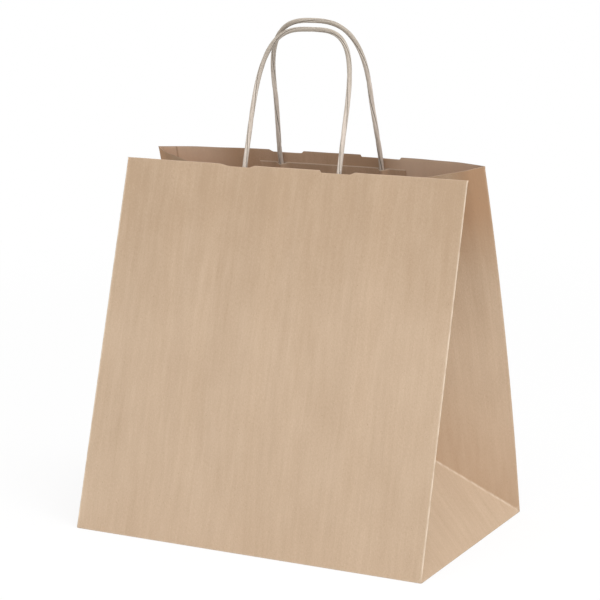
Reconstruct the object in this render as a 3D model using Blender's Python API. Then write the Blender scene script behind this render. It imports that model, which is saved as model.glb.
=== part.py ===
"""Paper carrier bag: a folded kraft sheet with a block bottom, and two twisted paper handles on patches."""

import math

import bmesh
import bpy
import numpy as np

# Folded sheet: the front looks along -Y, and the origin is the middle of the base
bag_width = 0.300
bag_depth = 0.200
bag_height = 0.300
back_extra = 0.0015
paper = 0.00016
gap = 0.0003

# How far each mouth edge stands from the middle of the bag, and how much its two ends differ
mouth_front = 0.017
mouth_front_skew = 0.005
mouth_back = 0.0265
mouth_back_skew = 0.003
mouth_back_tuck = 0.0075

# Soft curvature of the panels, outwards
front_belly = 0.003
back_belly = 0.007
back_bow = 0.021
bow_power = 3

# Lean of the triangle under each side gusset, from upright
gusset_lean = math.radians(39)

# Glued places of the sheet: flaps under the base and the lap seam on the back
flap_apex_inset = 0.100
flap_step = 0.00015
flap_margin = 0.0012
seam_width = 0.018
seam_from_edge = 0.014
seam_step = 0.00015
seam_margin = 0.0006

# Dips in the mouth edge over each handle foot
notch_width = 0.030
notch_depth = 0.0018
notch_slope = 0.0015

# Twisted cord of both handles, and how far it runs down inside the mouth
cord_diameter = 0.0042
cord_depth = 0.040

# Front handle: feet, height over the mouth, lean over it and outline
front_spacing = 0.0836
front_offset = -0.0013
front_rise = 0.1093
front_tilt = math.radians(15)
front_sway = 0.003
front_shoulder = 0.027
front_tuck = 0.0003
front_arch_power = 3.4

# Back handle
back_spacing = 0.0887
back_offset = 0.0034
back_rise = 0.111
back_tilt = math.radians(-13.5)
back_sway = -0.002
back_shoulder = 0.0465
back_tuck = 0.0028
back_arch_power = 2.85

# Strips that hold the cord ends inside the mouth
patch_top = 0.010
patch_height = 0.036
patch_margin = 0.020
patch_paper = 0.00018
channel_flank = 0.0015

# Fineness of the faceted sheet and cords
longest_column = 0.026
longest_row = 0.032
gusset_columns = 4
patch_column = 0.012
leg_points = 6
arch_points = 10
cord_resolution = 3

kraft_colour = (0.56, 0.41, 0.28, 1)
patch_colour = (0.58, 0.44, 0.31, 1)
cord_colour = (0.60, 0.47, 0.36, 1)


def clear_scene():
    for thing in list(bpy.data.objects):
        bpy.data.objects.remove(thing, do_unlink=True)


def paper_material(name, colour, roughness):
    material = bpy.data.materials.new(name)
    material.use_nodes = True
    shader = material.node_tree.nodes["Principled BSDF"]
    shader.inputs["Base Color"].default_value = colour
    shader.inputs["Roughness"].default_value = roughness
    shader.inputs["Metallic"].default_value = 0
    return material


def stations(breaks, longest):
    """Sorted break values, with even steps no longer than the given one between them."""
    breaks = sorted(breaks)
    values = [breaks[0]]
    for low, high in zip(breaks, breaks[1:]):
        steps = max(1, math.ceil((high - low) / longest - 1e-6))
        values += [low + (high - low) * step / steps for step in range(1, steps + 1)]
    return values


def mouth_height(length, edge_y):
    """Height of a mouth edge whose panel keeps its length while it leans inwards."""
    return math.sqrt(length**2 - (bag_depth / 2 - edge_y) ** 2)


def panel_length(panel):
    """Length of a panel's paper from its base fold to its mouth edge."""
    return bag_height + back_extra if panel is back_point else bag_height


def front_point(across, up):
    """Front panel: across runs from -1 at the left to 1 at the right, up from 0 at the base to 1."""
    edge_y = mouth_front + mouth_front_skew * across
    belly = 4 * front_belly * up * (1 - up) * (1 - across**2)
    half = bag_width / 2
    y = bag_depth / 2 * (1 - up) + edge_y * up + belly
    return np.array((half * across, -y, mouth_height(bag_height, edge_y) * up))


def back_point(across, up):
    """Back panel: its corners are drawn in at the mouth, and its middle bows outwards."""
    edge_y = mouth_back + mouth_back_skew * across
    belly = 4 * back_belly * up * (1 - up)
    bow = back_bow * up * (1 - abs(across) ** bow_power)
    half = bag_width / 2 - mouth_back_tuck * up
    y = bag_depth / 2 * (1 - up) + edge_y * up + belly + bow
    return np.array((half * across, y, mouth_height(bag_height + back_extra, edge_y) * up))


def meeting_point(first, first_reach, second, second_reach, third, third_reach, side):
    """The point at three given distances from three points, on the inner side of the gusset."""
    x_axis = (second - first) / np.linalg.norm(second - first)
    along = x_axis @ (third - first)
    y_axis = third - first - along * x_axis
    y_axis /= np.linalg.norm(y_axis)
    z_axis = np.cross(x_axis, y_axis)
    span = np.linalg.norm(second - first)
    beside = y_axis @ (third - first)
    x = (first_reach**2 - second_reach**2 + span**2) / (2 * span)
    y = (first_reach**2 - third_reach**2 + along**2 + beside**2) / (2 * beside) - along * x / beside
    z = math.sqrt(max(first_reach**2 - x**2 - y**2, 0))
    flat = first + x * x_axis + y * y_axis
    return min((flat + z * z_axis, flat - z * z_axis), key=lambda point: side * point[0])


def gusset_tip(side):
    """Where the diagonal folds of a gusset meet its middle fold."""
    reach = bag_depth / 2
    x = bag_width / 2 - reach * math.sin(gusset_lean)
    return np.array((side * x, 0, reach * math.cos(gusset_lean)))


def gusset_mouth(side):
    """Top end of a gusset's middle fold, from the lengths of the paper around it."""
    half = bag_depth / 2
    front_corner = front_point(side, 1)
    back_corner = back_point(side, 1)
    return meeting_point(gusset_tip(side), bag_height - half, front_corner, half, back_corner, half, side)


def gusset_point(panel, side, inward, up):
    """Half gusset: inward runs from the corner fold at 0 to the middle fold at 1."""
    tip = gusset_tip(side)
    fold = tip + (gusset_mouth(side) - tip) * up
    return panel(side, up) * (1 - inward) + fold * inward


def add_grid(mesh, rows, flip):
    """Quads between rows of points. Returns them row by row."""
    corners = [[mesh.verts.new(point) for point in row] for row in rows]
    faces = []
    for low, high in zip(corners, corners[1:]):
        strip = []
        for column in range(len(low) - 1):
            ring = [low[column], low[column + 1], high[column + 1], high[column]]
            strip.append(mesh.faces.new(ring[::-1] if flip else ring))
        faces.append(strip)
    return faces


def foot_places(spacing, offset):
    return offset - spacing / 2, offset + spacing / 2


def mouth_dip(x, feet):
    """Depth of the mouth edge's dips at a place across the bag."""
    nearest = min(abs(x - foot) for foot in feet)
    return notch_depth * min(1, max(0, (notch_width / 2 - nearest) / notch_slope))


def panel_columns(feet, extra):
    half = bag_width / 2
    breaks = [-half, half, *extra]
    for foot in feet:
        for reach in (notch_width / 2 - notch_slope, notch_width / 2):
            breaks += [foot - reach, foot + reach]
    return [x / half for x in stations(breaks, longest_column)]


def panel_rows(panel, columns, levels, feet):
    rows = [[panel(across, up) for across in columns] for up in levels[:-1]]
    half = bag_width / 2
    length = panel_length(panel)
    top = [panel(across, 1 - mouth_dip(across * half, feet) / length) for across in columns]
    return rows + [top]


def base_faces(mesh, front_columns, back_columns):
    """Four faces meet under the bag: a front flap, a back flap and a triangle at each end."""
    half = bag_width / 2
    apexes = [mesh.verts.new((side * (half - flap_apex_inset), 0, 0)) for side in (-1, 1)]
    front = [mesh.verts.new(front_point(across, 0)) for across in front_columns]
    back = [mesh.verts.new(back_point(across, 0)) for across in back_columns]
    mesh.faces.new([apexes[0], apexes[1], *front[::-1]])
    mesh.faces.new([apexes[1], apexes[0], *back])
    left = mesh.faces.new([front[0], back[0], apexes[0]])
    right = mesh.faces.new([back[-1], front[-1], apexes[1]])
    return left, right


def folded_sheet():
    """Outer surface of the bag as one open mesh."""
    mesh = bmesh.new()
    half = bag_width / 2
    levels = stations([0, bag_depth / 2 / bag_height, 1], longest_row / bag_height)
    seam = [-half + seam_from_edge, -half + seam_from_edge + seam_width]
    front_feet = foot_places(front_spacing, front_offset)
    back_feet = foot_places(back_spacing, back_offset)
    front_columns = panel_columns(front_feet, [])
    back_columns = panel_columns(back_feet, seam)

    add_grid(mesh, panel_rows(front_point, front_columns, levels, front_feet), False)
    back_faces = add_grid(mesh, panel_rows(back_point, back_columns, levels, back_feet), True)
    inward_steps = [step / gusset_columns for step in range(gusset_columns + 1)]
    for side in (-1, 1):
        for panel, handed in ((front_point, 1), (back_point, -1)):
            rows = [[gusset_point(panel, side, inward, up) for inward in inward_steps] for up in levels]
            add_grid(mesh, rows, side * handed < 0)
        front_fold = [gusset_point(front_point, side, inward, 0) for inward in inward_steps]
        back_fold = [gusset_point(back_point, side, inward, 0) for inward in inward_steps]
        add_grid(mesh, [front_fold, back_fold], side > 0)
    end_triangles = base_faces(mesh, front_columns, back_columns)

    lap = [
        face
        for strip in back_faces
        for column, face in enumerate(strip)
        if seam[0] < (back_columns[column] + back_columns[column + 1]) / 2 * half < seam[1]
    ]
    bmesh.ops.remove_doubles(mesh, verts=mesh.verts, dist=gap / 30)
    mesh.normal_update()
    bmesh.ops.inset_region(mesh, faces=lap, thickness=seam_margin, depth=seam_step, use_even_offset=True)
    for triangle in end_triangles:
        bmesh.ops.inset_region(mesh, faces=[triangle], thickness=flap_margin, depth=-flap_step)
    return mesh


def add_sheet(name, mesh, thickness, material):
    """A paper piece: the open mesh is its outer surface, and its thickness lies behind that."""
    data = bpy.data.meshes.new(name)
    mesh.to_mesh(data)
    mesh.free()
    data.materials.append(material)
    piece = bpy.data.objects.new(name, data)
    bpy.context.collection.objects.link(piece)
    wall = piece.modifiers.new("Paper", "SOLIDIFY")
    wall.thickness = thickness
    wall.offset = -1
    wall.use_even_offset = True
    wall.use_quality_normals = True
    return piece


def inner_point(panel, x, depth, lift):
    """A point over the panel's outer surface, a given depth below the mouth and lifted into the bag."""
    up = 1 - depth / panel_length(panel)
    across = x / panel(1, up)[0]
    step = 0.001
    sideways = panel(across + step, up) - panel(across - step, up)
    upwards = panel(across, up + step) - panel(across, up - step)
    normal = np.cross(sideways, upwards)
    normal /= np.linalg.norm(normal)
    if normal[1] * panel(0, 0)[1] > 0:
        normal = -normal
    return panel(across, up) + normal * lift


def channel_profile(feet):
    """Cover strip across both cords: pairs of place across the bag and height over the flat strip."""
    low, high = feet[0] - patch_margin, feet[1] + patch_margin
    clear = cord_diameter / 2 + gap
    reach = clear / math.cos(math.pi / 8)
    middle = cord_diameter / 2
    profile = []
    for foot in feet:
        for angle in (-3, -1, 1, 3):
            turn = angle * math.pi / 8
            profile.append((foot + reach * math.sin(turn), middle + reach * math.cos(turn)))
        flank = reach * math.sin(3 * math.pi / 8) + channel_flank
        profile += [(foot - flank, 0), (foot + flank, 0)]
    breaks = [low, high] + [x for x, height in profile]
    flats = stations(breaks, patch_column)
    level = [(x, 0) for x in flats if all(abs(x - foot) > flank + 1e-6 for foot in feet)]
    return sorted(profile + level)


def patch_strip(panel, profile, lift):
    mesh = bmesh.new()
    depths = stations([patch_top, patch_top + patch_height], patch_column)
    rows = [
        [inner_point(panel, x, depth, lift + height) for x, height in profile]
        for depth in depths[::-1]
    ]
    add_grid(mesh, rows, panel is back_point)
    return mesh


def arch_outline(spacing, rise, shoulder, tuck, power):
    """Half outline of a handle over the mouth: a straight leg, then a rounded arch up to its middle."""
    foot = spacing / 2
    half = foot - tuck
    levels = np.linspace(0, 1, leg_points)[1:-1]
    outline = [(foot + (half - foot) * level, shoulder * level) for level in levels]
    for turn in np.linspace(0, math.pi / 2, arch_points):
        x = half * max(0, math.cos(turn)) ** (2 / power)
        outline.append((x, shoulder + (rise - shoulder) * math.sin(turn) ** (2 / power)))
    return outline


def handle_path(panel, spacing, offset, rise, tilt, sway, shoulder, tuck, power):
    """Centreline of a handle: two legs glued along the panel, and a tall arch over the mouth."""
    lift = paper + gap + patch_paper + gap + cord_diameter / 2
    feet = foot_places(spacing, offset)
    depths = np.linspace(cord_depth, cord_diameter, leg_points)
    left, right = ([inner_point(panel, x, depth, lift) for depth in depths] for x in feet)
    mouth = [inner_point(panel, x, 0, lift) for x in feet]
    middle = (mouth[0] + mouth[1]) / 2
    across = (mouth[1] - mouth[0]) / np.linalg.norm(mouth[1] - mouth[0])
    upwards = np.array((0, math.sin(tilt), math.cos(tilt)))
    outline = arch_outline(spacing, rise, shoulder, tuck, power)
    spine = [middle + upwards * height + across * sway * (height / rise) ** 2 for x, height in outline]
    rising = [point - across * x for point, (x, height) in zip(spine, outline)]
    falling = [point + across * x for point, (x, height) in zip(spine, outline)]
    return left + rising + falling[-2::-1] + right[::-1]


def add_cord(name, path, material):
    curve = bpy.data.curves.new(name, "CURVE")
    curve.dimensions = "3D"
    curve.bevel_depth = cord_diameter / 2
    curve.bevel_resolution = cord_resolution
    curve.use_fill_caps = True
    spline = curve.splines.new("POLY")
    spline.points.add(len(path) - 1)
    for place, point in zip(spline.points, path):
        place.co = (*point, 1)
    curve.materials.append(material)
    cord = bpy.data.objects.new(name, curve)
    bpy.context.collection.objects.link(cord)
    return cord


def add_handle(side, panel, spacing, offset, outline, cord, patch):
    """One handle with the two strips that its ends are glued between."""
    feet = foot_places(spacing, offset)
    backing = [(x, 0) for x in stations([feet[0] - patch_margin, feet[1] + patch_margin], patch_column)]
    backing_lift = paper + gap
    cover_lift = backing_lift + patch_paper + gap
    backing_strip = patch_strip(panel, backing, backing_lift)
    cover_strip = patch_strip(panel, channel_profile(feet), cover_lift)
    add_sheet(f"{side}_patch_backing", backing_strip, patch_paper, patch)
    add_sheet(f"{side}_patch_cover", cover_strip, patch_paper, patch)
    add_cord(f"{side}_handle", handle_path(panel, spacing, offset, *outline), cord)


def main():
    clear_scene()
    kraft = paper_material("kraft_paper", kraft_colour, 0.85)
    patch = paper_material("patch_paper", patch_colour, 0.85)
    cord = paper_material("twisted_paper_cord", cord_colour, 0.8)
    front_outline = (front_rise, front_tilt, front_sway, front_shoulder, front_tuck, front_arch_power)
    back_outline = (back_rise, back_tilt, back_sway, back_shoulder, back_tuck, back_arch_power)
    add_sheet("bag_body", folded_sheet(), paper, kraft)
    add_handle("front", front_point, front_spacing, front_offset, front_outline, cord, patch)
    add_handle("back", back_point, back_spacing, back_offset, back_outline, cord, patch)


main()
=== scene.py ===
import math

import bpy
import numpy as np
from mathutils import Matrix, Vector


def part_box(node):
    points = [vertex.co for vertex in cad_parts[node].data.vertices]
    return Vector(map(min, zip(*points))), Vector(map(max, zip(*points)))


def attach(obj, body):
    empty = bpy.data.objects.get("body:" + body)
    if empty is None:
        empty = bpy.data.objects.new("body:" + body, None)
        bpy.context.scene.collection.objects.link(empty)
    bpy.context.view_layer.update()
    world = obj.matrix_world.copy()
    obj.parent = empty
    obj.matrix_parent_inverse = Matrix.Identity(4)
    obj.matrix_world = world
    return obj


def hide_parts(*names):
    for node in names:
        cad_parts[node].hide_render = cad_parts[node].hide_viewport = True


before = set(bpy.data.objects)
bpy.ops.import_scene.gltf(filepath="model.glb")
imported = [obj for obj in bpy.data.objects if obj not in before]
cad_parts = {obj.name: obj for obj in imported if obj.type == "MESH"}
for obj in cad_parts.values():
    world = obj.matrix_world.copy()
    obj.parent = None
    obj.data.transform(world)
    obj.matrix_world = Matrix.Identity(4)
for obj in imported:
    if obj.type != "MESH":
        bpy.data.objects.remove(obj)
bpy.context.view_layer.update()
print("frame loaded:", ", ".join(sorted(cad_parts)))


# Small helpers for shapes

def soft(low, high, value):
    # 0 below low and 1 above high, with a smooth rise between
    level = np.clip((value - low) / (high - low), 0, 1)
    return level * level * (3 - 2 * level)


def stations(marks, longest):
    # the marks in order, with even steps no longer than the given one between them
    decimals, slack = 7, 1e-6    # nearly equal marks are one, and nearly whole steps are whole
    marks = np.unique(np.round(marks, decimals))
    steps = np.maximum(1, np.ceil(np.diff(marks) / longest - slack)).astype(int)
    spans = zip(marks, marks[1:], steps)
    runs = [np.linspace(low, high, count, endpoint=False) for low, high, count in spans]
    return np.concatenate(runs + [marks[-1:]])


def ridges(rows, x, v):
    # long soft ridges that run up the sheet:
    # the sum of height * cos(full turn * (x / length + slant * v + start))
    height, length, slant, start = np.array(rows).T
    phase = x[..., None] / length + v[..., None] * slant + start
    return np.sum(height * np.cos(2 * np.pi * phase), axis=-1)


def tent(peak, value):
    # rises evenly from 0 at 0 to 1 at the peak, and falls evenly to 0 at 1
    return np.minimum(value / peak, (1 - value) / (1 - peak))


def gridQuads(shape, flip):
    # corners of every cell of a grid of rows and columns
    index = np.arange(shape[0] * shape[1]).reshape(shape)
    corners = [index[:-1, :-1], index[:-1, 1:], index[1:, 1:], index[1:, :-1]]
    quads = np.stack(corners, axis=-1).reshape(-1, 4)
    return quads[:, ::-1] if flip else quads


def softenFolds(points, corners, onFold, share):
    # a point on a fold moves part of the way to the mean of its neighbours, so the fold is round
    ends = np.stack([corners, np.roll(corners, -1, axis=1)], axis=-1).reshape(-1, 2)
    ends = np.unique(np.sort(ends[ends[:, 0] != ends[:, 1]], axis=1), axis=0)
    total, count = np.zeros_like(points), np.zeros(len(points))
    for here, there in ((0, 1), (1, 0)):
        np.add.at(total, ends[:, here], points[ends[:, there]])
        np.add.at(count, ends[:, here], 1)
    pull = total / count[:, None] - points
    return points + share * onFold[:, None] * pull


def meshFromGrids(name, grids, uvName, material, foldRound=0.0):
    # Grids of points become one mesh. Points in one place merge, and a quad that loses a corner
    # becomes a triangle. Every other value of the grids becomes an attribute of the points.
    sizes = [grid["points"].shape[0] * grid["points"].shape[1] for grid in grids]
    starts = np.cumsum([0] + sizes[:-1])
    points = np.concatenate([grid["points"].reshape(-1, 3) for grid in grids])
    flat = np.concatenate([grid["flat"].reshape(-1, 2) for grid in grids])
    quads = np.concatenate(
        [gridQuads(grid["points"].shape[:2], grid["flip"]) + start for grid, start in zip(grids, starts)]
    )
    reach = 2e-6    # points this near to each other are one point
    places = np.round(points / reach).astype(np.int64)
    first, merged = np.unique(places, axis=0, return_index=True, return_inverse=True)[1:]
    corners = merged.reshape(-1)[quads]
    real = corners != np.roll(corners, -1, axis=1)
    whole = real.sum(axis=1) > 2
    quads, corners, real = quads[whole], corners[whole], real[whole]
    counts = real.sum(axis=1)

    values = {
        word: np.concatenate([np.ravel(grid[word]) for grid in grids])[first]
        for word in grids[0]
        if word not in ("points", "flat", "flip")
    }
    points = points[first]
    if foldRound:
        onFold = (values["fold"] < reach) & (values["rim"] > reach)
        points = softenFolds(points, corners, onFold, foldRound)

    mesh = bpy.data.meshes.new(name)
    mesh.vertices.add(len(points))
    mesh.vertices.foreach_set("co", points.ravel())
    mesh.loops.add(int(counts.sum()))
    mesh.loops.foreach_set("vertex_index", corners[real].astype(np.int32))
    mesh.polygons.add(len(counts))
    mesh.polygons.foreach_set("loop_start", np.concatenate([[0], np.cumsum(counts)[:-1]]).astype(np.int32))
    mesh.update(calc_edges=True)
    mesh.polygons.foreach_set("use_smooth", np.ones(len(counts), dtype=bool))
    layer = mesh.uv_layers.new(name=uvName)
    layer.data.foreach_set("uv", flat[quads[real]].astype(np.float32).ravel())
    for word, value in values.items():
        mesh.attributes.new(word, "FLOAT", "POINT").data.foreach_set("value", value.astype(np.float32))
    mesh.materials.append(material)
    piece = bpy.data.objects.new(name, mesh)
    bpy.context.collection.objects.link(piece)
    return piece


def addPaper(piece, thickness, inside=None):
    # The mesh is the outer face of the paper, and its thickness lies behind that.
    # Normals weighted by area keep the flat faces flat beside the narrow strips at the folds.
    wall = piece.modifiers.new("paper", "SOLIDIFY")
    if inside:
        piece.data.materials.append(inside)
        wall.material_offset = 1
    wall.thickness = thickness
    wall.offset = -1
    wall.use_even_offset = False
    wall.use_quality_normals = True
    normals = piece.modifiers.new("flat faces stay flat", "WEIGHTED_NORMAL")
    normals.mode = "FACE_AREA"
    normals.weight = 60    # above 50, large faces count for more


# Small helpers for materials

def addNode(tree, kind, settings=(), **inputs):
    # inputs are named by their socket, or i0, i1 and so on by its number, and take a value or a link
    made = tree.nodes.new("ShaderNode" + kind)
    for word, value in dict(settings).items():
        setattr(made, word, value)
    for word, value in inputs.items():
        socket = made.inputs[int(word[1:])] if word[0] == "i" and word[1:].isdigit() else made.inputs[word]
        if isinstance(value, bpy.types.NodeSocket):
            tree.links.new(value, socket)
        else:
            socket.default_value = value
    return made


def calculate(tree, operation, first, second=0.0, third=0.0):
    made = addNode(tree, "Math", {"operation": operation}, i0=first, i1=second, i2=third)
    return made.outputs[0]


def ramp(tree, value, low, high, fromLow=0.0, fromHigh=1.0):
    # a value between low and high becomes one between fromLow and fromHigh, smoothly
    settings = {"interpolation_type": "SMOOTHSTEP"}
    made = addNode(tree, "MapRange", settings, i0=value, i1=low, i2=high, i3=fromLow, i4=fromHigh)
    return made.outputs[0]


def noise(tree, place, across, up, detail, rough, turn=0.0):
    # noise with so many grains in a metre across and up the sheet
    mapped = addNode(tree, "Mapping", {}, Vector=place, Scale=(across, up, 1), Rotation=(0, 0, turn))
    settings = {"Vector": mapped.outputs[0], "Scale": 1.0, "Detail": detail, "Roughness": rough}
    return addNode(tree, "TexNoise", {}, **settings).outputs[0]


def mixColours(tree, share, first, second):
    # share 0 is all of the first colour, and share 1 all of the second
    made = addNode(tree, "Mix", {"data_type": "RGBA"}, Factor=share)
    for number, value in ((6, first), (7, second)):
        if isinstance(value, bpy.types.NodeSocket):
            tree.links.new(value, made.inputs[number])
        else:
            made.inputs[number].default_value = (*value, 1)
    return made.outputs[2]


def addedUp(tree, grains, weights):
    # sum of each named grain's distance from its middle value 0.5, times its weight
    total = 0.0
    for word, weight in weights.items():
        away = calculate(tree, "SUBTRACT", grains[word], 0.5)
        total = calculate(tree, "MULTIPLY_ADD", away, weight, total)
    return total


def readAttribute(tree, word):
    return addNode(tree, "Attribute", {"attribute_name": word}).outputs["Fac"]


def newMaterial(name):
    material = bpy.data.materials.new(name)
    material.use_nodes = True
    tree = material.node_tree
    return material, tree, tree.nodes["Principled BSDF"]


def addBump(tree, shader, finish, height):
    depth = {"Strength": finish["bumpStrength"], "Distance": finish["bumpHeight"]}
    bump = addNode(tree, "Bump", {}, **depth, Height=height)
    tree.links.new(bump.outputs[0], shader.inputs["Normal"])


# Kraft paper: fibres, machine streaks, soft clouds, pale folds of wear and painted highlight, and painted
# shade and light

kraft = {
    "dark": (0.475, 0.336, 0.222),
    "light": (0.655, 0.500, 0.362),
    "wornAndHighlit": (0.86, 0.73, 0.58),       # pale rubbed fibres along the folds, and a painted highlight on their rounded edges
    "cut": (0.60, 0.46, 0.34),        # cut edge at the mouth
    "paintedShadeBrown": (0.44, 0.255, 0.140),    # painted shade: the browner colour of the gussets' hollows and of the shadow line along the lap
    "speck": (0.30, 0.19, 0.11),
    # each grain: how many in a metre across and up the sheet, detail, roughness and turn
    "grains": {
        "clouds": (16, 11, 3, 0.55),
        "bands": (55, 5, 2, 0.50),
        "streaks": (190, 20, 3, 0.60),
        "ribs": (620, 26, 2, 0.50),
        "fibres": (1500, 420, 4, 0.65, 0.12),
        "crossFibres": (520, 1700, 3, 0.60, -0.30),
        "crumple": (42, 30, 4, 0.55),
        "specks": (900, 620, 1, 0.40, 0.50),
        "patches": (30, 8, 3, 0.55),
        "rubs": (240, 90, 2, 0.60),
    },
    "tone": {
        "clouds": 0.45, "bands": 0.34, "streaks": 0.52, "ribs": 0.25, "fibres": 0.95, "crossFibres": 0.50,
        "crumple": 0.25,
    },
    "relief": {
        "fibres": 1.0, "crossFibres": 0.7, "ribs": 0.5, "streaks": 0.8, "crumple": 3.2, "clouds": 3.0,
    },
    # ramps: from this value to this one, the result goes from this share to this one
    "paintedShadeNearMouth": (0.15, 0.29, 0.47, 0.12),    # painted shade: darker near the mouth and paler lower down, where more light bounces up from the floor
    "patchShare": (0.35, 0.65, 0.75, 1.0),
    "speckShare": (0.735, 0.79, 0.0, 0.45),
    "rubShare": (0.30, 0.62, 0.35, 0.95),
    "foldShare": (0.0, 0.0021, 1.0, 0.0),     # by distance from the fold
    "cutShare": (0.0, 0.0007, 0.75, 0.0),     # by distance from the cut edge
    "lapShadowShare": (0.0002, 0.0010, 0.55, 0.0),  # painted shadow line, by distance from the lap's free edge
    "lapEdge": 0.618,                 # its place on the sheet, measured from the middle of the front
    "roughness": 0.82,
    "roughnessSpread": 0.12,
    "specular": 0.28,
    "bumpHeight": 0.00011,
    "bumpStrength": 0.9,
}


def paperMaterial(name, finish):
    # A tone between dark and light from the grains added up, lowered towards the mouth as painted shade,
    # then painted shade in the gussets' hollows, specks, pale folds of wear and painted highlight, the cut
    # edge, a painted shadow line along the lap and, inside, painted light towards the panels' ends.
    material, tree, shader = newMaterial(name)
    place = addNode(tree, "UVMap", {"uv_map": "sheet"}).outputs[0]
    across, up = addNode(tree, "SeparateXYZ", {}, i0=place).outputs[:2]
    grains = {word: noise(tree, place, *grain) for word, grain in finish["grains"].items()}

    # painted shade: the tone is lowered towards the mouth
    level = ramp(tree, up, *finish["paintedShadeNearMouth"])
    tone = calculate(tree, "ADD", addedUp(tree, grains, finish["tone"]), level)
    colour = mixColours(tree, tone, finish["dark"], finish["light"])
    # painted light: on the inside, the paper is drawn paler towards the panels' ends, where more light
    # reaches
    if "paintedLightShare" in finish:
        # distance from near the middle of the front or back panel, whichever is nearer
        repeat = half + halfDepth
        shifted = calculate(tree, "SUBTRACT", across, finish["endShift"])
        away = calculate(tree, "ABSOLUTE", calculate(tree, "WRAP", shifted, repeat, -repeat))
        colour = mixColours(tree, ramp(tree, away, *finish["paintedLightShare"]), colour, finish["paintedLightColour"])
    patches = ramp(tree, grains["patches"], *finish["patchShare"])
    # painted shade: the gussets' hollows are drawn browner, in patches
    paintedShade = calculate(tree, "MULTIPLY", readAttribute(tree, "shade"), patches)
    colour = mixColours(tree, paintedShade, colour, finish["paintedShadeBrown"])
    specks = ramp(tree, grains["specks"], *finish["speckShare"])
    colour = mixColours(tree, specks, colour, finish["speck"])

    # pale folds: rubbed fibres, together with a painted highlight along each rounded fold
    rubs = ramp(tree, grains["rubs"], *finish["rubShare"])
    wornAndHighlit = calculate(tree, "MULTIPLY", ramp(tree, readAttribute(tree, "fold"), *finish["foldShare"]), rubs)
    wornAndHighlit = calculate(tree, "MULTIPLY", wornAndHighlit, readAttribute(tree, "wearAndHighlight"))
    colour = mixColours(tree, wornAndHighlit, colour, finish["wornAndHighlit"])
    cut = ramp(tree, readAttribute(tree, "rim"), *finish["cutShare"])
    colour = mixColours(tree, cut, colour, finish["cut"])
    # painted shadow line along the lap's free edge
    beside = calculate(tree, "ABSOLUTE", calculate(tree, "SUBTRACT", across, finish["lapEdge"]))
    colour = mixColours(tree, ramp(tree, beside, *finish["lapShadowShare"]), colour, finish["paintedShadeBrown"])
    tree.links.new(colour, shader.inputs["Base Color"])

    addBump(tree, shader, finish, addedUp(tree, grains, finish["relief"]))
    spread = finish["roughnessSpread"]
    rough = calculate(tree, "MULTIPLY_ADD", grains["fibres"], spread, finish["roughness"] - spread / 2)
    tree.links.new(rough, shader.inputs["Roughness"])
    shader.inputs["Specular IOR Level"].default_value = finish["specular"]
    return material


# The folded sheet: front, back, two gussets with diagonal folds, and the block bottom

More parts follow.
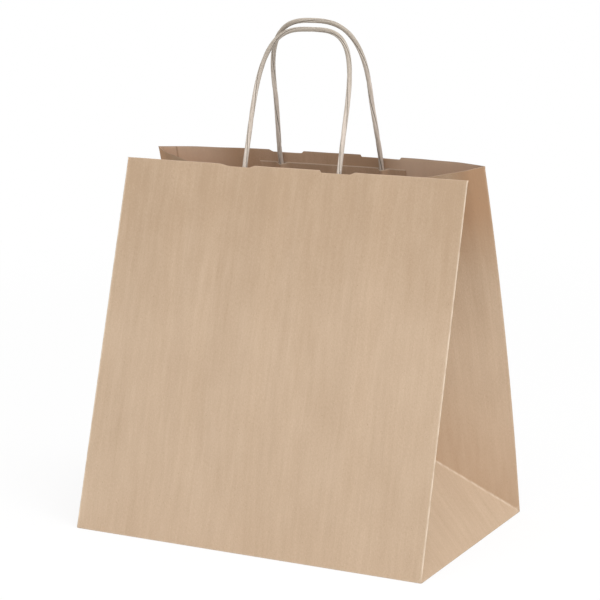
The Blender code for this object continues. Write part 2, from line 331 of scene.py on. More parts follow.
lowCorner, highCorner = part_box("bag_body")
bag = {
    "width": highCorner[0] - lowCorner[0],
    "depth": 2 * abs(lowCorner[1]),
    "frontHeight": 0.300,             # of the paper, measured along the panel
    "backHeight": 0.3015,
    "paper": 0.00016,
    "gap": 0.0003,                    # between papers that are glued together
    "mouthFront": 0.017,              # from the middle of the bag to the front's mouth edge
    "mouthFrontSkew": 0.005,          # more at the right end, and less at the left one
    "mouthBack": 0.0265,
    "mouthBackSkew": 0.003,
    "mouthBackTuck": 0.0075,          # the back's corners are drawn in by this at the mouth
    "frontBelly": 0.003,
    "backBelly": 0.007,
    "backBow": 0.021,                 # the back's middle stands out by this at the mouth
    "bowPower": 3,
    "gussetLean": math.radians(39),   # of the upright triangle under each gusset
    # soft ridges: height, length, slant and start of each wave
    "frontRidges": [
        (0.00040, 0.083, 0.4, 0.12),
        (0.00028, 0.047, -0.5, 0.55),
        (0.00016, 0.029, 0.7, 0.30),
    ],
    "backRidges": [
        (0.00045, 0.091, 0.3, 0.62),
        (0.00030, 0.052, 0.6, 0.18),
        (0.00018, 0.033, -0.8, 0.70),
    ],
    "pressLine": 0.00035,             # crease across the panels where the base was folded up
    "pressReach": 0.030,
    "cornerBend": 0.0045,             # soft upright bend of each back half gusset beside its corner fold
    "cornerBendPlace": 0.15,
    "cornerBendRise": 0.45,
    "cornerBendPush": (0.37, -0.93),  # direction across and along the bag
    "frontHalfBend": 0.0015,
    "frontHalfBendRise": 0.2,
    "frontHalfBendPush": (0.20, 0.98),
    "endBend": 0.0016,                # soft bend of the back panel near its ends
    "endBendPlace": 0.123,
    "endBendReach": 0.024,
    # dips of the mouth edge: left and right end, depth, and the lengths over which it falls and rises
    "frontNotches": [
        (-0.0655, -0.0320, 0.0018, 0.0110, 0.0050),
        (0.0253, 0.0555, 0.0018, 0.0008, 0.0040),
    ],
    "backNotches": [
        (-0.0550, -0.0225, 0.0018, 0.0040, 0.0020),
        (0.0298, 0.0684, 0.0018, 0.0010, 0.0020),
    ],
    "ridgeRise": 0.35,                # the ridges are full from this share of the height
    "ridgePower": 8,                  # and fade sharply at the corner folds
    "seam": (-0.136, -0.118),         # lap seam on the back
    "seamMargin": 0.0006,
    "seamStep": 0.00016,
    "seamRise": (0.01, 0.03),
    "flapApex": 0.100,                # length of the triangle at each end of the base
    "flapStep": 0.00015,              # height of one paper over the next in the base
    "flapMargin": 0.0012,
    "flapLift": (0.55, 0.97),         # the front flap lies over the back one, and rises to its edge here
    "flapMarks": (0.96, 0.985),
    "flapCell": 0.08,
    "foldStrip": 0.0008,              # narrow strip beside each fold, which rounds it
    "rimStrip": 0.003,                # strip under the mouth edge, which carries its dips
    "cell": 0.0035,                   # longest step of the grids
    "diagonalSlope": 0.3,             # slopes of the distances from the slanting folds
    "triangleSlope": 1.41,
    "flapSlope": 0.7,
    "foldRound": 0.9,                 # how far a point on a fold moves to the mean of its neighbours
    # painted shade of the gussets' hollows, drawn browner:
    "lowPaintedShade": 0.45,                 # the gussets are browner just above the diagonal folds
    "lowPaintedShadeReach": 0.42,
    "paintedShadeRise": (0.66, 0.97),        # and most at the mouth,
    "paintedShadeFade": 1.00,                # though less so away from the corner folds
    "paintedShadeFadeReach": (0.10, 0.30),
    "paintedShadeFadeRise": (0.86, 0.97),
    "backWear": 0.25,                 # how pale the back folds are drawn, as rubbed fibres and painted highlight, against 1 at the front folds
    "diagonalWear": 0.6,
    "baseWear": 0.15,
    "baseWearReach": 0.012,
    "cornerWearReach": 0.05,
    "triangleWearReach": 0.12,
}
half = bag["width"] / 2
halfDepth = bag["depth"] / 2


def mouthHeight(length, edgeY):
    # height squared is the panel's length squared less its lean squared
    return np.sqrt(length ** 2 - (halfDepth - edgeY) ** 2)


def pressLine(v):
    # a shallow ridge with a sharp top, at the height where the base was folded up
    return bag["pressLine"] * np.clip(1 - np.abs(v - halfDepth) / bag["pressReach"], 0, 1)


def ripple(rows, across, up, height):
    # the panel's ridges and its press line, from nothing at the base fold and the corner folds
    raised = ridges(rows, across * half, up * height) + pressLine(up * height)
    return raised * soft(0, bag["ridgeRise"], up) * (1 - across ** bag["ridgePower"])


def frontPanel(across, up):
    # Leans in from the base fold to the mouth, with a shallow belly and soft upright ridges.
    # across runs from -1 to 1 and up from 0 to 1.
    across, up = np.broadcast_arrays(across, up)
    edgeY = bag["mouthFront"] + bag["mouthFrontSkew"] * across
    belly = 4 * bag["frontBelly"] * up * (1 - up) * (1 - across ** 2)
    raised = ripple(bag["frontRidges"], across, up, bag["frontHeight"])
    y = halfDepth * (1 - up) + edgeY * up + belly + raised
    return np.stack([half * across, -y, mouthHeight(bag["frontHeight"], edgeY) * up], axis=-1)


def backPanel(across, up):
    # Like the front, but its corners are drawn in at the mouth and its middle bows outwards.
    across, up = np.broadcast_arrays(across, up)
    edgeY = bag["mouthBack"] + bag["mouthBackSkew"] * across
    belly = 4 * bag["backBelly"] * up * (1 - up)
    bow = bag["backBow"] * up * (1 - np.abs(across) ** bag["bowPower"])
    bend = np.abs(np.abs(across) * half - bag["endBendPlace"]) / bag["endBendReach"]
    bow = bow + bag["endBend"] * up ** 2 * np.clip(1 - bend, 0, 1)
    raised = ripple(bag["backRidges"], across, up, bag["backHeight"])
    x, margin = across * half, bag["seamMargin"]
    left, right = bag["seam"]
    lap = bag["seamStep"] * soft(left - margin, left, x) * soft(right + margin, right, x)
    lap = lap * soft(*bag["seamRise"], up)
    y = halfDepth * (1 - up) + edgeY * up + belly + bow + raised + lap
    wide = half - bag["mouthBackTuck"] * up
    return np.stack([wide * across, y, mouthHeight(bag["backHeight"], edgeY) * up], axis=-1)


def meetingPoint(centres, reaches, side):
    # the point at three given distances from three points, on the inner side of the gusset
    first, second, third = centres
    span = np.linalg.norm(second - first)
    xAxis = (second - first) / span
    along = xAxis @ (third - first)
    yAxis = third - first - along * xAxis
    yAxis = yAxis / np.linalg.norm(yAxis)
    beside = yAxis @ (third - first)
    x = (reaches[0] ** 2 - reaches[1] ** 2 + span ** 2) / (2 * span)
    y = (reaches[0] ** 2 - reaches[2] ** 2 + along ** 2 + beside ** 2) / (2 * beside)
    y = y - along * x / beside
    lift = math.sqrt(max(reaches[0] ** 2 - x ** 2 - y ** 2, 0)) * np.cross(xAxis, yAxis)
    level = first + x * xAxis + y * yAxis
    return min((level + lift, level - lift), key=lambda point: side * point[0])


def gussetTip(side):
    # where the diagonal folds meet the middle fold
    lean = bag["gussetLean"]
    return np.array([side * (half - halfDepth * math.sin(lean)), 0, halfDepth * math.cos(lean)])


def gussetMouth(side):
    # top of the middle fold: as far from its tip and from both corners as the flat paper says
    one = np.array(1.0)
    centres = (gussetTip(side), frontPanel(side * one, one), backPanel(side * one, one))
    reaches = (bag["frontHeight"] - halfDepth, halfDepth, halfDepth)
    return meetingPoint(centres, reaches, side)


def gussetHalf(panel, side, inward, up):
    # Half a gusset: an even mix of its corner fold and its middle fold, with a soft upright bend.
    # inward runs from 0 at the corner fold to 1 at the middle fold.
    inward, up = np.broadcast_arrays(inward, up)
    tip = gussetTip(side)
    fold = tip + (gussetMouth(side) - tip) * up[..., None]
    share = inward[..., None]
    flat = panel(side * np.ones_like(up), up) * (1 - share) + fold * share
    if panel is backPanel:
        bend = bag["cornerBend"] * soft(bag["cornerBendRise"], 1, up) * tent(bag["cornerBendPlace"], inward)
        push = bag["cornerBendPush"]
    else:
        bend = bag["frontHalfBend"] * soft(bag["frontHalfBendRise"], 1, up) * np.sin(np.pi * inward)
        push = bag["frontHalfBendPush"]
    return flat + bend[..., None] * np.array([side * push[0], push[1], 0])


def notchDepth(notches, x):
    # each dip falls from its left end and rises to its right end over lengths of its own
    depth = np.zeros_like(x)
    for left, right, deep, fall, rise in notches:
        falling, rising = soft(left, left + fall, x), soft(right, right - rise, x)
        depth = np.maximum(depth, deep * np.minimum(falling, rising))
    return depth


def panelGrid(panel, columns, levels):
    # a whole panel, whose top row follows the dips of the mouth edge; flat is its place on the sheet
    isBack = panel is backPanel
    height = bag["backHeight"] if isBack else bag["frontHeight"]
    notches = bag["backNotches"] if isBack else bag["frontNotches"]
    across, up = np.meshgrid(columns / half, levels)
    up = up.copy()
    up[-1] = 1 - notchDepth(notches, columns) / height
    fold = np.minimum((1 - np.abs(across)) * half, up * height)
    rim = (levels[-1] - np.meshgrid(columns, levels)[1]) * height
    sheetX = bag["width"] + bag["depth"] - across * half if isBack else across * half
    flat = np.stack([sheetX, up * height], axis=-1)
    rubbed = bag["backWear"] if isBack else 1.0
    wearAndHighlight = bag["baseWear"] + (rubbed - bag["baseWear"]) * soft(0, bag["baseWearReach"], up * height)
    rest = {"rim": rim, "shade": 0 * up, "wearAndHighlight": wearAndHighlight}
    return {"points": panel(across, up), "flat": flat, "flip": isBack, "fold": fold, **rest}


def gussetGrid(panel, side, inwards, levels):
    # the part of a half gusset above the diagonal fold; flat is its place on the sheet
    inward, up = np.meshgrid(inwards, levels)
    height = bag["frontHeight"]
    v = height * up * (1 - inward) + (halfDepth + (height - halfDepth) * up) * inward
    across = halfDepth * inward if panel is frontPanel else bag["depth"] - halfDepth * inward
    fold = np.minimum(inward, 1 - inward) * halfDepth
    fold = np.minimum(fold, up * (height - halfDepth * bag["diagonalSlope"]))
    flip = (side > 0) == (panel is backPanel)
    cornerWear = 1.0 if panel is frontPanel else bag["backWear"]
    wearAndHighlight = cornerWear + (bag["diagonalWear"] - cornerWear) * soft(0, bag["cornerWearReach"], inward)
    # painted shade: browner just above the diagonal folds, and at the mouth beside the corner folds
    fade = 1 - bag["paintedShadeFade"] * soft(*bag["paintedShadeFadeReach"], inward) * soft(*bag["paintedShadeFadeRise"], up)
    low = bag["lowPaintedShade"] * (1 - soft(0, bag["lowPaintedShadeReach"], up))
    shade = low + soft(*bag["paintedShadeRise"], up) * fade
    return {
        "points": gussetHalf(panel, side, inward, up),
        "flat": np.stack([side * (half + across), v], axis=-1),
        "flip": flip,
        "fold": fold,
        "rim": (1 - up) * height,
        "shade": shade,
        "wearAndHighlight": wearAndHighlight,
    }


def lowerTriangle(side, inwards, betweens):
    # the upright triangle under a gusset: an even mix of its two diagonal folds
    between, inward = np.meshgrid(betweens, inwards)
    zero = np.zeros_like(inward)
    front = gussetHalf(frontPanel, side, inward, zero)
    back = gussetHalf(backPanel, side, inward, zero)
    points = front + (back - front) * between[..., None]
    x = half + halfDepth * inward + bag["depth"] * (1 - inward) * between
    beside = (1 - inward) * np.minimum(between, 1 - between) * bag["triangleSlope"]
    fold = np.minimum(inward, beside) * halfDepth
    flat = np.stack([side * x, halfDepth * inward], axis=-1)
    rise = soft(0, bag["triangleWearReach"], inward)
    wearAndHighlight = bag["baseWear"] + (bag["diagonalWear"] - bag["baseWear"]) * rise
    rest = {"rim": zero + 1, "shade": zero, "wearAndHighlight": wearAndHighlight}
    return {"points": points, "flat": flat, "flip": side < 0, "fold": fold, **rest}


def baseFlap(end, columns, inwards):
    # a trapezoid from its base fold to the middle line of the base; end is -1 for the front flap
    # and 1 for the back one
    x, inward = np.meshgrid(columns, inwards)
    apex = half - bag["flapApex"]
    sides = half + (apex - half) * inward
    lift = soft(*bag["flapLift"], inward) * soft(1, bag["flapMarks"][1], inward)
    step = bag["flapStep"] * lift if end < 0 else 0 * inward
    points = np.stack([x / half * sides, end * halfDepth * (1 - inward), step], axis=-1)
    fold = np.minimum(inward * halfDepth, (sides - np.abs(points[..., 0])) * bag["flapSlope"])
    flat = np.stack([points[..., 0], -halfDepth * inward], axis=-1)
    rest = {"rim": 0 * inward + 1, "shade": 0 * inward, "wearAndHighlight": 0 * inward + bag["baseWear"]}
    return {"points": points, "flat": flat, "flip": end < 0, "fold": fold, **rest}


def baseEnd(side, betweens, inwards):
    # the triangle at each end of the base lies one paper higher than the two flaps that are glued over it
    between, inward = np.meshgrid(betweens, inwards)
    apex = half - bag["flapApex"]
    x = half + (apex - half) * inward
    y = halfDepth * (2 * between - 1) * (1 - inward)
    inside = np.minimum(halfDepth * (1 - inward) - np.abs(y), halfDepth * inward)
    step = bag["flapStep"] * soft(0, bag["flapMargin"], inside)
    fold = np.minimum(inward * halfDepth, inside * bag["flapSlope"])
    flat = np.stack([side * (half + y + halfDepth), -halfDepth * inward], axis=-1)
    points = np.stack([side * x, y, step], axis=-1)
    rest = {"rim": 0 * inward + 1, "shade": 0 * inward, "wearAndHighlight": 0 * inward + bag["baseWear"]}
    return {"points": points, "flat": flat, "flip": side > 0, "fold": fold, **rest}


def foldedSheet(material):
    # every panel, gusset and flap as a grid with the same stations along the folds that they share
    strip = bag["foldStrip"]
    ends = [-half, -half + strip, half - strip, half]
    flanks = [
        [left, left + fall, right - rise, right]
        for left, right, deep, fall, rise in bag["frontNotches"] + bag["backNotches"]
    ]
    seamMarks = [bag["seam"][0] - bag["seamMargin"], *bag["seam"], bag["seam"][1] + bag["seamMargin"]]
    endBends = [-bag["endBendPlace"], bag["endBendPlace"]]
    columns = stations(ends + sum(flanks, []) + seamMarks + endBends, bag["cell"])
    height = bag["frontHeight"]
    levels = [0, strip / height, halfDepth / height, 1 - bag["rimStrip"] / height, 1]
    levels = stations(levels, bag["cell"] / height)
    share = strip / halfDepth
    inwards = stations([0, share, bag["cornerBendPlace"], 1 - share, 1], bag["cell"] / halfDepth)
    betweens = stations([0, share / 2, 1 - share / 2, 1], bag["cell"] / bag["depth"])
    flapMarks = stations([0, share, *bag["flapMarks"], 1], bag["flapCell"])

    grids = [panelGrid(panel, columns, levels) for panel in (frontPanel, backPanel)]
    grids += [baseFlap(end, columns, flapMarks) for end in (-1, 1)]
    for side in (-1, 1):
        grids += [gussetGrid(panel, side, inwards, levels) for panel in (frontPanel, backPanel)]
        grids += [lowerTriangle(side, inwards, betweens), baseEnd(side, betweens, flapMarks)]
    return meshFromGrids("kraftSheet", grids, "sheet", material, bag["foldRound"])


# painted light: the inside is a paler, redder copy of the outer paper, standing in for light bounced inside
# the bag
insideWithPaintedLight = dict(
    kraft,
    dark=(0.56, 0.372, 0.243),
    light=(0.77, 0.553, 0.397),
    tone=dict(kraft["tone"], clouds=1.3),
    paintedLightColour=(0.90, 0.70, 0.54),     # painted light: the inside is drawn paler towards the ends of each panel
    paintedLightShare=(0.060, 0.095, 0.0, 0.6),
    endShift=0.02,
    lapEdge=0.636,
)
kraftPaper = paperMaterial("kraft paper", kraft)
kraftInside = paperMaterial("kraft paper inside with painted light", insideWithPaintedLight)
kraftSheet = foldedSheet(kraftPaper)
addPaper(kraftSheet, bag["paper"], kraftInside)
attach(kraftSheet, "root")
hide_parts("bag_body")
print("folded sheet:", len(kraftSheet.data.polygons), "faces")


# Strips that hold the cord ends inside the mouth, and the handles

strips = {
    "top": 0.010,                     # from the mouth edge down
    "height": 0.036,
    "margin": 0.020,                  # beyond the cord at each end
    "paper": 0.00018,
    "flank": 0.0058,                  # how far the cover strip lies clear beside each cord
    "flankStart": 0.0016,             # from here outwards it falls away from the cord
    "flankRise": 0.0036,
    "flankPower": 1.35,
    "cell": 0.0018,
}
cord = {
    "diameter": 0.0042,               # of the room that the cord takes up between the strips
    "thickness": 0.0039,              # of the twisted paper itself, over the lumps
    "inside": 0.040,                  # length of each leg under the mouth edge
    "ringStep": 0.0009,
    "smoothSteps": 7,
    "around": 28,                     # faces around the cord
    "pitch": 0.095,                   # length of one whole turn of the twist
    "grooves": 2,
    "grooveDepth": 0.24,              # share of the radius
    "grooveWidth": 0.40,
    "lumps": 0.035,                   # share of the radius
    "lumpTurns": (310, 127, 47),      # radians in a metre of the waves that make the lumps
    "lumpShift": 7,                   # their shift in radians, for each turn of twistStart
    "lumpStart": 2,
    "legPoints": 30,
    "shoulderPoints": 30,
    "shoulderStart": 0.05,
    "archPoints": 160,
    "normalStep": 0.004,              # share of the panel over which its slope is taken
}
frontHandle = {
    "panel": frontPanel,
    "height": bag["frontHeight"],
    "spacing": 0.0836,                # between the middles of the two legs
    "offset": -0.0013,                # their middle, against the middle of the panel
    "rise": 0.1093,                   # along the tilted loop, over the mouth edge
    "tilt": math.radians(15),         # towards the back
    "sway": 0.003,                    # sideways at the top
    "shoulder": 0.027,                # straight part of each leg over the mouth edge
    "tuck": 0.0003,                   # the legs draw in by this along it
    "power": 3.4,                     # of the superellipse: 2 is round, and more is squarer
    "twistStart": 0.10,               # share of a turn
}
backHandle = {
    "panel": backPanel,
    "height": bag["backHeight"],
    "spacing": 0.0887,
    "offset": 0.0034,
    "rise": 0.111,
    "tilt": math.radians(-13.5),
    "sway": -0.002,
    "shoulder": 0.0465,
    "tuck": 0.0028,
    "power": 2.85,
    "twistStart": 0.45,
}


def innerPoint(handle, x, depth, lift):
    # a point under the mouth, lifted from the panel's outer face into the bag along its normal
    panel, step = handle["panel"], cord["normalStep"]
    x, depth, lift = np.broadcast_arrays(x, depth, lift)
    up = 1 - depth / handle["height"]
    wide = np.abs(panel(np.ones_like(up), up)[..., 0])
    across = x / wide
    sideways = panel(across + step, up) - panel(across - step, up)
    upwards = panel(across, up + step) - panel(across, up - step)
    normal = np.cross(sideways, upwards)
    normal = normal / np.linalg.norm(normal, axis=-1, keepdims=True)
    normal = np.where(normal[..., 1:2] * (1 if panel is frontPanel else -1) < 0, -normal, normal)
    return panel(across, up) + normal * lift[..., None]


def feet(handle):
    # where the two cord legs stand along the mouth
    return handle["offset"] - handle["spacing"] / 2, handle["offset"] + handle["spacing"] / 2


def stripPiece(name, handle, overCords, material):
    # a glued strip that follows the panel; the cover strip rises over both cords like a soft tent
    left, right = feet(handle)
    xs = stations([left - strips["margin"], left, right, right + strips["margin"]], strips["cell"])
    low, high = strips["top"], strips["top"] + strips["height"]
    depths = stations([low, high], strips["cell"] * 2)[::-1]
    x, depth = np.meshgrid(xs, depths)
    lift = bag["paper"] + bag["gap"] + np.zeros_like(x)
    if overCords:
        radius = cord["diameter"] / 2 + bag["gap"]
        away = np.minimum(np.abs(x - left), np.abs(x - right))
        dome = cord["diameter"] / 2 + np.sqrt(np.maximum(radius ** 2 - away ** 2, 0))
        start = strips["flankStart"]
        flank = np.clip((strips["flank"] - away) / (strips["flank"] - start), 0, 1)
        flank = flank ** strips["flankPower"] * strips["flankRise"]
        over = np.where(away < start, np.maximum(dome, flank), flank)
        lift = lift + strips["paper"] + bag["gap"] + over
    rim = np.minimum(np.minimum(depth - low, high - depth), strips["margin"])
    flat = np.stack([x, handle["height"] - depth], axis=-1)
    flip = handle["panel"] is backPanel
    rest = {"fold": 0 * x + 1, "rim": rim, "shade": 0 * x, "wearAndHighlight": 0 * x}
    grid = {"points": innerPoint(handle, x, depth, lift), "flat": flat, "flip": flip, **rest}
    piece = meshFromGrids(name, [grid], "sheet", material)
    addPaper(piece, strips["paper"])
    return piece


def handlePath(handle):
    # Two legs along the panel, and over the mouth a straight shoulder that runs into a superellipse:
    # across = half * cos(turn) ** (2 / power), height = shoulder + rest * sin(turn) ** (2 / power).
    lift = bag["paper"] + 2 * bag["gap"] + strips["paper"] + cord["diameter"] / 2
    places = feet(handle)
    depths = np.linspace(cord["inside"], cord["diameter"], cord["legPoints"])
    left, right = (innerPoint(handle, np.array(x), depths, lift) for x in places)
    ends = [innerPoint(handle, np.array(x), np.array(0.0), lift) for x in places]
    middle = (ends[0] + ends[1]) / 2
    across = (ends[1] - ends[0]) / np.linalg.norm(ends[1] - ends[0])
    upwards = np.array([0, math.sin(handle["tilt"]), math.cos(handle["tilt"])])

    foot = handle["spacing"] / 2
    inner = foot - handle["tuck"]
    level = np.linspace(cord["shoulderStart"], 1, cord["shoulderPoints"])[:-1]
    turn = np.linspace(0, math.pi / 2, cord["archPoints"])
    wide = inner * np.maximum(0, np.cos(turn)) ** (2 / handle["power"])
    x = np.concatenate([foot + (inner - foot) * level, wide])
    high = handle["rise"] - handle["shoulder"]
    arch = handle["shoulder"] + high * np.sin(turn) ** (2 / handle["power"])
    height = np.concatenate([handle["shoulder"] * level, arch])
    sway = handle["sway"] * (height / handle["rise"]) ** 2
    spine = middle + upwards * height[:, None] + across * sway[:, None]
    rising, falling = spine - across * x[:, None], spine + across * x[:, None]
    return np.concatenate([left, rising, falling[-2::-1], right[::-1]])


def evenPath(path, step, smoothing):
    # the same path at even steps, smoothed over a few steps so that no corner is left,
    # with its two ends where they were
    run = np.concatenate([[0], np.cumsum(np.linalg.norm(np.diff(path, axis=0), axis=1))])
    count = int(round(run[-1] / step)) + 1
    even = np.linspace(0, run[-1], count)
    points = np.stack([np.interp(even, run, path[:, axis]) for axis in range(3)], axis=-1)
    before, after = np.repeat(points[:1], smoothing, 0), np.repeat(points[-1:], smoothing, 0)
    padded = np.concatenate([before, points, after])
    window = np.hanning(2 * smoothing + 3)[1:-1]
    window = window / window.sum()
    smooth = np.stack([np.convolve(padded[:, axis], window, mode="valid") for axis in range(3)], axis=-1)
    place = np.arange(count)
    blend = soft(0, smoothing, np.minimum(place, place[::-1]).astype(float))[:, None]
    return points * (1 - blend) + smooth * blend, even


def cordPiece(name, handle, material):
    # A round profile with helical grooves is carried along the path. Radius = full * (1 - groove - lumps),
    # where the groove turns once each pitch, and each end closes in one point.
    path, run = evenPath(handlePath(handle), cord["ringStep"], cord["smoothSteps"])
    along = np.gradient(path, axis=0)
    along = along / np.linalg.norm(along, axis=1, keepdims=True)
    across = path[-1] - path[0]
    plane = np.cross(across, np.array([0, math.sin(handle["tilt"]), math.cos(handle["tilt"])]))
    plane = plane / np.linalg.norm(plane)
    beside = np.cross(along, plane)
    beside = beside / np.linalg.norm(beside, axis=1, keepdims=True)
    outwards = np.cross(beside, along)

    angle = np.linspace(0, 2 * np.pi, cord["around"] + 1)
    turn = angle[None, :] - 2 * np.pi * (run[:, None] / cord["pitch"] + handle["twistStart"])
    wave = np.abs(np.sin(turn * cord["grooves"] / 2))
    groove = cord["grooveDepth"] * (1 - soft(0, cord["grooveWidth"], wave))
    shift = handle["twistStart"] * cord["lumpShift"]
    short, middling, long = (run[:, None] * turns for turns in cord["lumpTurns"])
    lumps = np.sin(short + shift) * np.sin(middling + angle + cord["lumpStart"]) + np.sin(long + shift)
    lumps = cord["lumps"] * (0.5 + 0.25 * lumps)      # from 0 to the full share
    radius = cord["thickness"] / 2 * (1 - groove - lumps)
    radius[:, -1] = radius[:, 0]
    sideways, outward = np.cos(angle)[:, None], np.sin(angle)[:, None]
    circle = sideways * beside[:, None] + outward * outwards[:, None]
    circle[:, -1] = circle[:, 0]
    body = path[:, None] + circle * radius[..., None]
    first, last = (np.repeat(path[end][None, None], len(angle), axis=1) for end in (0, -1))
    points = np.concatenate([first, body, last])
    runs = np.concatenate([[0], run, run[-1:]])
    around = angle[None, :] * cord["diameter"] / 2
    flat = np.stack(np.broadcast_arrays(around, runs[:, None]), axis=-1)
    depth = np.concatenate([groove[:1], groove, groove[-1:]]) / cord["grooveDepth"]
    grid = {"points": points, "flat": flat, "flip": False, "groove": depth}
    return meshFromGrids(name, [grid], "cord", material), run[-1]


# Twisted paper: creases and fibres that follow the twist, painted shade in the grooves and a painted
# highlight on their edges

cordFinish = {
    "dark": (0.365, 0.305, 0.245),
    "light": (0.745, 0.650, 0.570),
    # painted shade in the grooves
    "grooveShade": (0.17, 0.135, 0.10),
    # painted highlight on the edges of the grooves
    "edge": (0.80, 0.74, 0.68),
    "paintedTopShade": (0.33, 0.29, 0.235),   # painted shade: the loop's top is drawn darker
    "middle": 0.175,                  # the loop's top, along the cord
    "grains": {"clouds": (60, 28, 2, 0.5), "creases": (1400, 70, 3, 0.6), "fibres": (2600, 380, 3, 0.6)},
    "twisted": ("creases", "fibres"),
    "tone": {"clouds": 0.9, "creases": 1.9, "fibres": 0.9},
    "toneLevel": 0.58,
    "relief": {"creases": 2.0, "fibres": 1.0, "clouds": 0.8},
    "topShadeShare": (0.035, 0.095, 0.62, 0.0),
    "grooveShare": (0.20, 0.85, 0.0, 0.88),   # by depth of the groove
    "edgeRise": (0.0, 0.12),
    "edgeFall": (0.45, 0.2),
    "edgeShare": 0.6,
    "roughness": 0.80,
    "specular": 0.3,
    "bumpHeight": 0.00012,
    "bumpStrength": 0.8,
}


def cordMaterial(name, finish):
    # A tone from the grains, then painted shade at the loop's top, painted shade in the grooves and a
    # painted highlight on their edges.
    material, tree, shader = newMaterial(name)
    place = addNode(tree, "UVMap", {"uv_map": "cord"}).outputs[0]
    lean = math.atan(math.pi * cord["diameter"] / cord["pitch"])
    grains = {
        word: noise(tree, place, *grain, lean if word in finish["twisted"] else 0.0)
        for word, grain in finish["grains"].items()
    }
    tone = calculate(tree, "ADD", addedUp(tree, grains, finish["tone"]), finish["toneLevel"])
    colour = mixColours(tree, tone, finish["dark"], finish["light"])
    along = addNode(tree, "SeparateXYZ", {}, i0=place).outputs[1]
    # painted shade: darker towards the loop's top
    away = calculate(tree, "ABSOLUTE", calculate(tree, "SUBTRACT", along, finish["middle"]))
    colour = mixColours(tree, ramp(tree, away, *finish["topShadeShare"]), colour, finish["paintedTopShade"])
    # painted shade in the grooves, and a painted highlight beside them
    groove = readAttribute(tree, "groove")
    colour = mixColours(tree, ramp(tree, groove, *finish["grooveShare"]), colour, finish["grooveShade"])
    rise, fall = ramp(tree, groove, *finish["edgeRise"]), ramp(tree, groove, *finish["edgeFall"])
    beside = calculate(tree, "MULTIPLY", calculate(tree, "MULTIPLY", rise, fall), finish["edgeShare"])
    colour = mixColours(tree, beside, colour, finish["edge"])
    tree.links.new(colour, shader.inputs["Base Color"])
    addBump(tree, shader, finish, addedUp(tree, grains, finish["relief"]))
    shader.inputs["Roughness"].default_value = finish["roughness"]
    shader.inputs["Specular IOR Level"].default_value = finish["specular"]
    return material


patchFinish = dict(
    kraft,
    dark=(0.555, 0.375, 0.248),
    light=(0.765, 0.555, 0.400),
    cut=(0.90, 0.77, 0.63),
    cutShare=(0.0, 0.0009, 0.75, 0.0),
)
patchPaper = paperMaterial("patch paper", patchFinish)
twistedPaper = cordMaterial("twisted paper", cordFinish)

for word, handle in (("front", frontHandle), ("back", backHandle)):
    handlePiece, length = cordPiece(word + "HandleCord", handle, twistedPaper)
    backing = stripPiece(word + "BackingStrip", handle, False, patchPaper)
    cover = stripPiece(word + "CoverStrip", handle, True, patchPaper)
    for piece, node, slot in (
        (handlePiece, word + "_handle", "paper_cord"),
        (backing, word + "_patch_backing", "patch_paper"),
        (cover, word + "_patch_cover", "patch_paper"),
    ):
        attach(piece, "root")
        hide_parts(node)
    print(word, "handle:", round(length * 1000), "mm of cord")


# Floor, background, lights and camera

studio = {
    "floorSize": 9.0,
    "floorDrop": 0.0001,              # the floor lies this far under the base
    "floorColour": (0.92, 0.92, 0.92),
    "floorWhite": 0.84,               # share of plain white over the floor's own shading
    "fadeStart": 0.35,
    "fadeEnd": 1.3,
    "worldLight": 0.575,
    "frontLamp": ((-0.15, -2.0, 2.2), 1.6, 11),     # place, size and power
    "sideLamp": ((2.4, -0.72, 1.5), 1.8, 12.6),
    "topLamp": ((0.7, -0.4, 2.6), 1.6, 36),
    "lampTarget": (0, 0, 0.16),
}
view = {
    "lens": 132.0,
    "sensor": 36.0,
    "elevation": math.radians(11.83),
    "azimuth": math.radians(26.80),
    "distance": 1.7378,
    "nearest": 0.05,
    "target": (-0.00089, 0.0, 0.18095),
}


def seenDirectly(tree):
    # 1 for what the camera sees, also in a gloss or through something clear, and 0 for all other light
    rays = addNode(tree, "LightPath").outputs
    seen = calculate(tree, "MAXIMUM", rays["Is Camera Ray"], rays["Is Glossy Ray"])
    return calculate(tree, "MAXIMUM", seen, rays["Is Transmission Ray"])


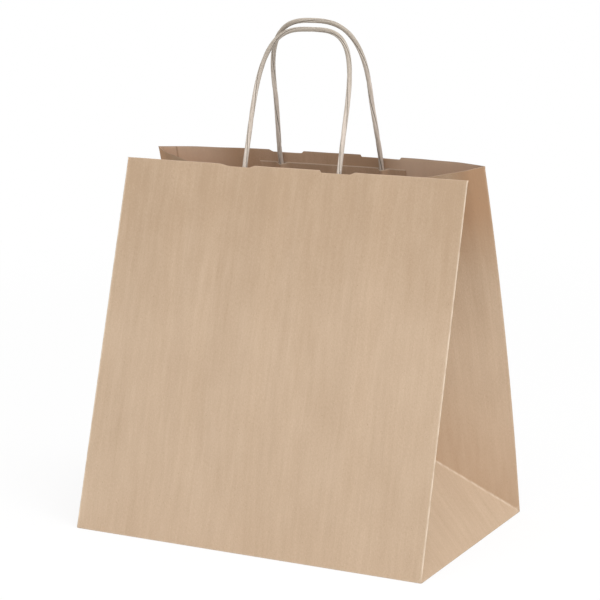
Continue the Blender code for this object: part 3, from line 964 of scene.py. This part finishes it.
def floorMaterial():
    # The camera sees mostly white, more so further out, and so do gloss and clear rays.
    # All other light meets the plain pale floor.
    material, tree, shader = newMaterial("pale floor")
    shader.inputs["Base Color"].default_value = (*studio["floorColour"], 1)
    shader.inputs["Roughness"].default_value = 1.0
    shader.inputs["Specular IOR Level"].default_value = 0.0
    white = addNode(tree, "Emission", {}, Strength=1.0)
    place = addNode(tree, "TexCoord").outputs["Object"]
    away = addNode(tree, "VectorMath", {"operation": "LENGTH"}, i0=place).outputs["Value"]
    share = ramp(tree, away, studio["fadeStart"], studio["fadeEnd"], studio["floorWhite"], 1.0)
    mix = addNode(tree, "MixShader", {}, i0=calculate(tree, "MULTIPLY", share, seenDirectly(tree)))
    tree.links.new(shader.outputs[0], mix.inputs[1])
    tree.links.new(white.outputs[0], mix.inputs[2])
    tree.links.new(mix.outputs[0], tree.nodes["Material Output"].inputs["Surface"])
    return material


def addFloor():
    # one wide square face, whose material fades to the white of the world
    reach = studio["floorSize"] / 2
    x, y = np.meshgrid([-reach, reach], [-reach, reach])
    points = np.stack([x, y, 0 * x - studio["floorDrop"]], axis=-1)
    grid = {"points": points, "flat": points[..., :2], "flip": False}
    meshFromGrids("floor", [grid], "floor", floorMaterial())


def addWorld():
    # white where it is seen, and a weaker light on all sides
    world = bpy.data.worlds.new("studio")
    bpy.context.scene.world = world
    world.use_nodes = True
    tree = world.node_tree
    background = tree.nodes["Background"]
    background.inputs["Color"].default_value = (1, 1, 1, 1)
    light = studio["worldLight"]
    strength = calculate(tree, "MULTIPLY_ADD", seenDirectly(tree), 1 - light, light)
    tree.links.new(strength, background.inputs["Strength"])


def addLamp(name, place, size, power):
    lamp = bpy.data.lights.new(name, "AREA")
    lamp.shape = "SQUARE"
    lamp.size = size
    lamp.energy = power
    thing = bpy.data.objects.new(name, lamp)
    thing.location = place
    aim = Vector(studio["lampTarget"]) - Vector(place)
    thing.rotation_euler = aim.to_track_quat("-Z", "Y").to_euler()
    bpy.context.collection.objects.link(thing)


def addCamera():
    # the camera that was fitted to the photo
    azimuth, elevation = view["azimuth"], view["elevation"]
    level = math.cos(elevation)
    back = Vector((math.sin(azimuth) * level, -math.cos(azimuth) * level, math.sin(elevation)))
    data = bpy.data.cameras.new("photo view")
    data.lens = view["lens"]
    data.sensor_width = view["sensor"]
    data.clip_start = view["nearest"]
    camera = bpy.data.objects.new("photo view", data)
    camera.location = Vector(view["target"]) + back * view["distance"]
    camera.rotation_euler = back.to_track_quat("Z", "Y").to_euler()
    bpy.context.collection.objects.link(camera)
    bpy.context.scene.camera = camera


addFloor()
addWorld()
addLamp("front lamp", *studio["frontLamp"])
addLamp("side lamp", *studio["sideLamp"])
addLamp("top lamp", *studio["topLamp"])
addCamera()
bpy.context.scene.view_settings.view_transform = "Standard"
print("studio ready")
